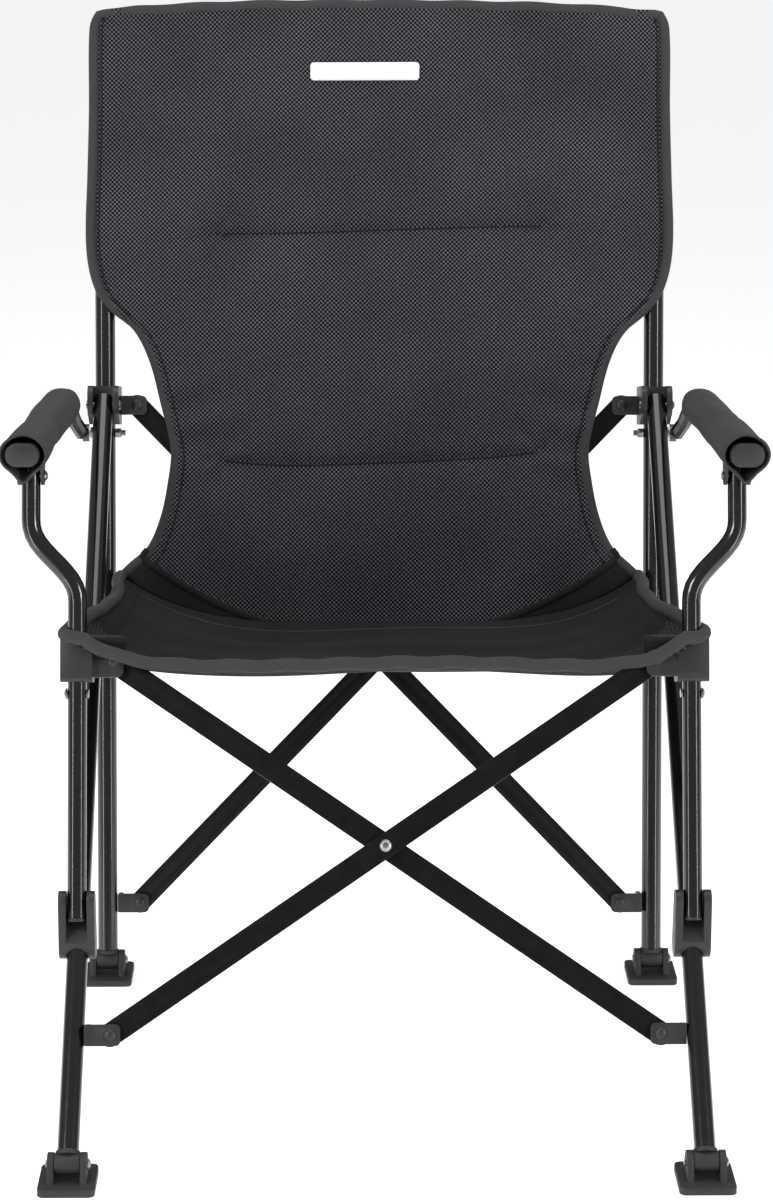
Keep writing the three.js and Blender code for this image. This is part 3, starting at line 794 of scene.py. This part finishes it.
# ---------------------------------------------------------------- seat
SEAT_OUTLINE = (
    (0.0, 0.282), (0.03, 0.298), (0.08, 0.306), (0.14, 0.305), (0.25, 0.298), (0.40, 0.286), (0.55, 0.276),
    (0.75, 0.273), (0.90, 0.278), (1.0, 0.277),
)
SEAT_FRONT_Y = CORNER_PIN.y - 0.020
SEAT_TOP = 0.462


def seat_rear(s):
    """The seam where the seat meets the foot of the back."""
    x, along, ahead = back_front(s, 0)
    return on_post(x, along + 0.004, ahead - CLOTH / 2)


def seat_top(s, t):
    half = through(SEAT_OUTLINE, t)
    x = s * half
    rear = seat_rear(s)
    bow = 0.016 * (1 - abs(s) ** 3) * (1 - t) ** 2
    y = mix(SEAT_FRONT_Y + bow, rear.y, t)
    power = mix(9, 4, min(t * 1.4, 1))
    sag = mix(0.030, SEAM_DROP, t) + 0.018 * math.sin(math.pi * t)
    level = mix(SEAT_TOP, rear.z + SEAM_DROP * (1 - abs(s) ** 4), t)
    z = level - sag * (1 - abs(s) ** power)
    edge = smooth_step(1.0, 0.9, abs(s))
    z += edge * 0.0030 * math.sin(x * 19 + 0.7) * math.sin(t * 9 + 0.5)
    hollow = math.exp(-(((t - 0.34 - 0.12 * (1 - abs(s))) / 0.05) ** 2))
    z -= edge * 0.0050 * hollow * smooth_step(0.15, 0.8, abs(s))
    z += edge * 0.0040 * math.exp(-(((t - 0.70 + 0.10 * abs(s)) / 0.06) ** 2))
    z -= 0.0030 * math.exp(-(((t - 0.085) / 0.018) ** 2)) * smooth_step(0.98, 0.9, abs(s))
    return x, y, z


def seat_under(s, t):
    x, y, z = seat_top(s, t)
    return x, y + 0.0005, z - CLOTH


def as_vector(x, y, z):
    return Vector((x, y, z))


def seat():
    panel = shell("seat_fabric", 120, 80, seat_top, seat_under, RIBBED, as_vector)
    panel.data.materials.append(COARSE)
    for polygon in panel.data.polygons:
        x, y, _ = panel.data.vertices[polygon.vertices[0]].co
        t = (y - SEAT_FRONT_Y) / (seat_rear(0).y - SEAT_FRONT_Y)
        s = abs(x) / through(SEAT_OUTLINE, min(max(t, 0), 1))
        if s > 0.76 + t * 0.5 and t < 0.36:
            polygon.material_index = 1
    fold_with_chair(panel, "seat")
    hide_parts("seat_panel")

    route = [(-1, t) for t in np.linspace(1, 0, 60)]
    route += [(s, 0) for s in np.linspace(-1, 1, 120)[1:-1]]
    route += [(1, t) for t in np.linspace(0, 1, 60)]
    points = []
    for s, t in route:
        x, y, z = (np.array(seat_top(s, t)) + np.array(seat_under(s, t))) / 2
        wave = 0.0009 * math.sin(x * 120 + t * 30)
        inward = -math.copysign(0.0035, s) * min(t * 12, 1) if abs(s) == 1 else 0
        points.append(Vector((x + inward, y + 0.0025 * (1 - min(t * 12, 1)), z + wave)))
    binding = band("seat_binding", points, [Vector((0, -0.25, 1))] * len(points), 0.0064, CLOTH / 2 + 0.0022,
                   BINDING, sides=14)
    fold_with_chair(binding, "seat")

    seams = {
        "front": [(s, 0.085) for s in np.linspace(-0.93, 0.93, 150)],
        "left": [(-0.925, t) for t in np.linspace(0.085, 0.95, 80)],
        "right": [(0.925, t) for t in np.linspace(0.085, 0.95, 80)],
        "rear": [(s, 0.90) for s in np.linspace(-0.9, 0.9, 120)],
    }
    for seam_name, places in seams.items():
        run = [Vector(seat_top(s, t)) + Vector((0, 0, 0.0002)) for s, t in places]
        thread = BINDING if seam_name == "rear" else THREAD
        stitch(f"seat_seam_{seam_name}", run, Vector((0, 0, 1)), 0.0009, 0.0007, thread, "seat")

    for name, side in SIDES:
        pocket(name, side)


def pocket(name, side):
    """The cloth pocket under a front corner, which holds the seat on its corner block."""
    rings, path = [], []
    for i in range(9):
        t = i / 8
        drop = 0.030 * t
        half = mix(0.026, 0.012, t * t)
        inboard = HALF_WIDTH - 0.020 - 0.006 * t
        centre = Vector((side * inboard, SEAT_FRONT_Y + 0.021, SEAT_TOP - 0.008 - drop))
        ring = []
        for k in range(20):
            turn = 2 * math.pi * k / 20
            ring.append(centre + Vector((half * math.cos(turn), 0.009 * math.sin(turn) * (1 - 0.3 * t), 0)))
        rings.append(ring)
        path.append(centre)
    made = sweep(f"corner_pocket_{name}", path, rings, POCKET)
    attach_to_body(made, f"{name}_arm_support")


# ---------------------------------------------------------------- armrests
def armrest(name, side):
    """A cloth sleeve round the armrest's foam, open in front where it shows the end cap."""
    low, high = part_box(f"armrest_pad_{name}")
    front = Vector((side * 0.338, low.y - 0.009, 0.625))
    rear = Vector((side * 0.3265, high.y + 0.008, 0.6155))
    forward = (front - rear).normalized()
    side_way = Vector((1, 0, 0))
    up = side_way.cross(forward).normalized()
    if up.z < 0:
        up = -up
    rings, path = [], []
    steps = 44
    for layer_index, sign in enumerate((1, -1)):
        for i in range(steps + 1):
            t = i / steps if sign > 0 else 1 - i / steps
            if layer_index and i == 0:
                continue
            centre = rear.lerp(front, t)
            squeeze = 1 - 0.30 * math.exp(-((t / 0.06) ** 2)) - 0.05 * math.exp(-(((t - 0.62) / 0.03) ** 2))
            wall = 0 if sign > 0 else 0.0022
            if not sign > 0 and t < 0.80:
                break
            ring = []
            for k in range(48):
                turn = 2 * math.pi * k / 48
                bottom = max(-math.sin(turn), 0) ** 14
                wrinkle = 0.0005 * math.sin(turn * 2 + t * 9) + 0.0004 * math.sin(t * 17 + turn * 3)
                wide = (0.0198 + 0.0024 * smooth_step(0.55, 1.0, t)) * squeeze + wrinkle - wall
                tall = 0.0186 * squeeze + wrinkle - wall + bottom * 0.0085 * smooth_step(0.80, 1.0, t)
                notch = 0.006 * smooth_step(0.92, 1.0, t) * max(math.sin(turn), 0) ** 6
                section = side_way * wide * math.cos(turn) + up * tall * math.sin(turn)
                ring.append(centre + section - forward * notch)
            rings.append(ring)
            path.append(centre)
    made = sweep(f"armrest_sleeve_{name}", path, rings, SLEEVE)
    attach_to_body(made, f"{name}_armrest")
    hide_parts(f"armrest_pad_{name}")

    rim, normals = [], []
    for k in range(48):
        turn = 2 * math.pi * k / 48
        bottom = max(-math.sin(turn), 0) ** 14
        outward = side_way * math.cos(turn) + up * math.sin(turn)
        point = front + side_way * 0.0214 * math.cos(turn) + up * (0.0178 + bottom * 0.0085) * math.sin(turn)
        rim.append(point - forward * 0.006 * max(math.sin(turn), 0) ** 6)
        normals.append(outward)
    edge = band(f"armrest_edge_{name}", rim, normals, 0.0019, 0.0014, BINDING, closed=True, sides=8)
    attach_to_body(edge, f"{name}_armrest")


# ---------------------------------------------------------------- carried-over CAD pieces
def mouldings():
    edges = {
        "rear_slider": (MOULDED, 0.0014, "moulded_grey"),
        "rear_upper_bracket": (MOULDED, 0.0006, "moulded_grey"),
        "rear_lower_bracket": (MOULDED, 0.0006, "moulded_grey"),
        "front_bracket": (MOULDED, 0.0006, "moulded_grey"),
        "leg_clip": (MOULDED, 0.0012, "moulded_grey"),
        "seat_corner_block": (MOULDED, 0.0010, "moulded_grey"),
        "support_plug": (MOULDED, 0.0005, "moulded_grey"),
        "armrest_bracket": (MOULDED, 0.0006, "moulded_grey"),
        "armrest_cap": (MOULDED, 0.0022, "moulded_grey"),
        "rear_foot_shoe": (FOOT, 0.0012, "foot_grey"),
        "front_foot_shoe": (FOOT, 0.0012, "foot_grey"),
        "rear_foot_knuckle": (FOOT, 0.0006, "foot_grey"),
        "front_foot_knuckle": (FOOT, 0.0006, "foot_grey"),
    }
    for stem, (material, radius, slot_name) in edges.items():
        for name, _ in SIDES:
            rounded_copy(f"{stem}_{name}", material, radius, slot_name)
    for end in ("front", "rear"):
        for way in ("left", "right"):
            rounded_copy(f"{end}_cross_bar_rising_{way}", BAR, 0.0024, "cross_bar_black", 4)


def keep_cad_pieces():
    """The small steel pieces and the armrest tubes stay as they are, with better materials."""
    stems = ("armrest_bolt", "armrest_bolt_head", "leg_pin", "stop_rivet", "armrest_pin", "rear_foot_pin",
             "front_foot_pin")
    kept = {f"{stem}_{name}": STEEL for stem in stems for name, _ in SIDES}
    kept.update({f"{end}_cross_rivet": STEEL for end in ("front", "rear")})
    kept.update({f"armrest_tube_{name}": TUBE for name, _ in SIDES})
    for node, material in kept.items():
        shown = frame["nodes"][node]
        if shown.material_slots:
            shown.material_slots[0].material = material
        else:
            shown.data.materials.append(material)


stage()
for side_name, side_sign in SIDES:
    tubes(side_name, side_sign)
back()
seat()
for side_name, side_sign in SIDES:
    armrest(side_name, side_sign)
mouldings()
keep_cad_pieces()
